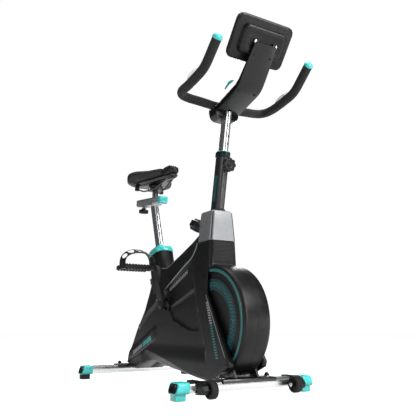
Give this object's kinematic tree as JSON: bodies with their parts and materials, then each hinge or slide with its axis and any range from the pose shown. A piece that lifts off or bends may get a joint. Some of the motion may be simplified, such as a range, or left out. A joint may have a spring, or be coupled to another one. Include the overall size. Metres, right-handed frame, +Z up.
{
  "type": "exercise bike",
  "caption": "Upright stationary exercise bike with a covered magnetic flywheel, cranks with toe-cage pedals, an adjustable saddle and a horned handlebar with a tilting display.",
  "frame": {"origin": "on the floor, under the middle of the bike's overall box", "axes": "+Z up, +X forwards towards the display, +Y to the rider's left"},
  "size_m": [0.9956, 0.52, 1.2142],
  "materials": {
    "black_paint": "satin black powder coat on steel",
    "black_plastic": "fine-grained moulded black plastic",
    "silver_plastic": "satin silver-grey painted plastic",
    "teal_plastic": "bright teal moulded plastic, semi-gloss",
    "chrome": "chromium-plated steel tube",
    "steel": "machined steel",
    "cast_iron": "turned grey cast iron",
    "rubber": "matt black rubber",
    "foam": "soft closed-cell foam sleeve over a steel bar",
    "leather": "black synthetic leather over a padded saddle"
  },
  "bodies": {
    "frame": {"crank_bearing_shell": "steel", "drive_belt": "rubber", "flywheel_axle": "steel", "flywheel_cover_left": "black_plastic", "flywheel_cover_right": "black_plastic", "frame_fork": "black_paint", "frame_head_tube": "black_paint", "frame_main_beam": "black_paint", "frame_seat_tube": "black_paint", "front_bar_saddle": "black_paint", "front_cover": "black_plastic", "front_end_cap_left": "teal_plastic", "front_end_cap_right": "teal_plastic", "front_floor_bar": "chrome", "head_collar": "teal_plastic", "head_cowl": "silver_plastic", "rear_bar_saddle": "black_paint", "rear_end_cap_left": "teal_plastic", "rear_end_cap_right": "teal_plastic", "rear_floor_bar": "chrome", "rear_foot_left": "rubber", "rear_foot_right": "rubber", "seat_tube_cap": "teal_plastic", "seat_tube_sleeve": "black_plastic", "side_cover_left": "black_plastic", "side_cover_right": "black_plastic", "transport_bracket_left": "black_plastic", "transport_bracket_right": "black_plastic"},
    "flywheel_rotor": {"flywheel": "cast_iron"},
    "crankset": {"crank_spindle": "steel", "crank_arm_right": "black_paint", "crank_arm_left": "black_paint", "crank_pulley": "black_plastic"},
    "right_pedal": {"pedal_right": "black_plastic", "toe_cage_right": "black_plastic"},
    "left_pedal": {"pedal_left": "black_plastic", "toe_cage_left": "black_plastic"},
    "right_transport_wheel": {"transport_wheel_right": "black_plastic"},
    "left_transport_wheel": {"transport_wheel_left": "black_plastic"},
    "magnet_brake": {"brake_magnet_arm": "steel"},
    "resistance_dial": {"resistance_knob": "black_plastic"},
    "handlebar_stem": {"handlebar_post": "chrome", "handlebar": "foam", "console_bracket": "black_plastic", "horn_cap_left": "teal_plastic", "horn_cap_right": "teal_plastic"},
    "stem_clamp_knob": {"handlebar_height_knob": "black_plastic"},
    "console": {"console_housing": "black_plastic"},
    "right_key": {"console_key_right": "teal_plastic"},
    "centre_key": {"console_key_centre": "teal_plastic"},
    "left_key": {"console_key_left": "teal_plastic"},
    "seat_stem": {"seat_post": "chrome", "slider_cradle": "black_paint"},
    "seat_pull_pin": {"seat_height_knob": "black_plastic"},
    "saddle": {"saddle_slider": "chrome", "slider_front_cap": "teal_plastic", "saddle_clamp": "black_paint", "saddle_base": "black_plastic", "saddle_cushion": "leather"},
    "slider_clamp_knob": {"slider_knob": "black_plastic"}
  },
  "joints": [
    {"name": "flywheel_spin", "type": "hinge", "parent": "frame", "child": "flywheel_rotor", "pos_m": [0.22, 0, 0.2275], "axis": [0, 1, 0], "continuous": true},
    {"name": "crank_spin", "type": "hinge", "parent": "frame", "child": "crankset", "pos_m": [-0.1, 0, 0.294], "axis": [0, 1, 0], "continuous": true},
    {"name": "right_pedal_spin", "type": "hinge", "parent": "crankset", "child": "right_pedal", "pos_m": [-0.15172, 0, 0.4316], "axis": [0, 1, 0], "continuous": true},
    {"name": "left_pedal_spin", "type": "hinge", "parent": "crankset", "child": "left_pedal", "pos_m": [-0.04828, 0, 0.1564], "axis": [0, 1, 0], "continuous": true},
    {"name": "right_transport_wheel_spin", "type": "hinge", "parent": "frame", "child": "right_transport_wheel", "pos_m": [0.385, -0.158, 0.031], "axis": [0, 1, 0], "continuous": true},
    {"name": "left_transport_wheel_spin", "type": "hinge", "parent": "frame", "child": "left_transport_wheel", "pos_m": [0.385, 0.158, 0.031], "axis": [0, 1, 0], "continuous": true},
    {"name": "resistance_dial_turn", "type": "hinge", "parent": "frame", "child": "resistance_dial", "pos_m": [0.088, 0, 0.564], "axis": [-0.9397, 0, 0.342], "range_deg": [0, 300]},
    {"name": "magnet_brake_swing", "type": "hinge", "parent": "frame", "child": "magnet_brake", "pos_m": [0.11449, 0, 0.37272], "axis": [0, -1, 0], "range_deg": [0, 3]},
    {"name": "handlebar_height", "type": "slide", "parent": "frame", "child": "handlebar_stem", "axis": [0.1908, 0, 0.9816], "range_m": [-0.045, 0.1]},
    {"name": "stem_clamp_turn", "type": "hinge", "parent": "frame", "child": "stem_clamp_knob", "pos_m": [0.20382, 0, 0.77784], "axis": [0.9816, 0, -0.1908], "range_deg": [0, 720]},
    {"name": "console_tilt", "type": "hinge", "parent": "handlebar_stem", "child": "console", "pos_m": [0.47437, 0, 1.13011], "axis": [0, 1, 0], "range_deg": [0, 20]},
    {"name": "right_key_press", "type": "slide", "parent": "console", "child": "right_key", "axis": [0.7965, 0, -0.6047], "range_m": [0, 0.0015], "stiffness_N_per_m": 400},
    {"name": "centre_key_press", "type": "slide", "parent": "console", "child": "centre_key", "axis": [0.7965, 0, -0.6047], "range_m": [0, 0.0015], "stiffness_N_per_m": 400},
    {"name": "left_key_press", "type": "slide", "parent": "console", "child": "left_key", "axis": [0.7965, 0, -0.6047], "range_m": [0, 0.0015], "stiffness_N_per_m": 400},
    {"name": "seat_height", "type": "slide", "parent": "frame", "child": "seat_stem", "axis": [-0.3007, 0, 0.9537], "range_m": [-0.065, 0.09]},
    {"name": "seat_pin_pull", "type": "slide", "parent": "frame", "child": "seat_pull_pin", "axis": [-0.9537, 0, -0.3007], "range_m": [0, 0.008], "stiffness_N_per_m": 1500},
    {"name": "saddle_fore_aft", "type": "slide", "parent": "seat_stem", "child": "saddle", "axis": [0.9943, 0, -0.1063], "range_m": [-0.035, 0.035]},
    {"name": "slider_clamp_turn", "type": "hinge", "parent": "seat_stem", "child": "slider_clamp_knob", "pos_m": [-0.44742, 0, 0.76165], "axis": [0.1063, 0, 0.9943], "range_deg": [0, 720]}
  ],
  "couplings": [
    {"joint": "crank_spin", "follows": "flywheel_spin", "ratio": 0.2},
    {"joint": "magnet_brake_swing", "follows": "resistance_dial_turn", "ratio": 0.01}
  ]
}
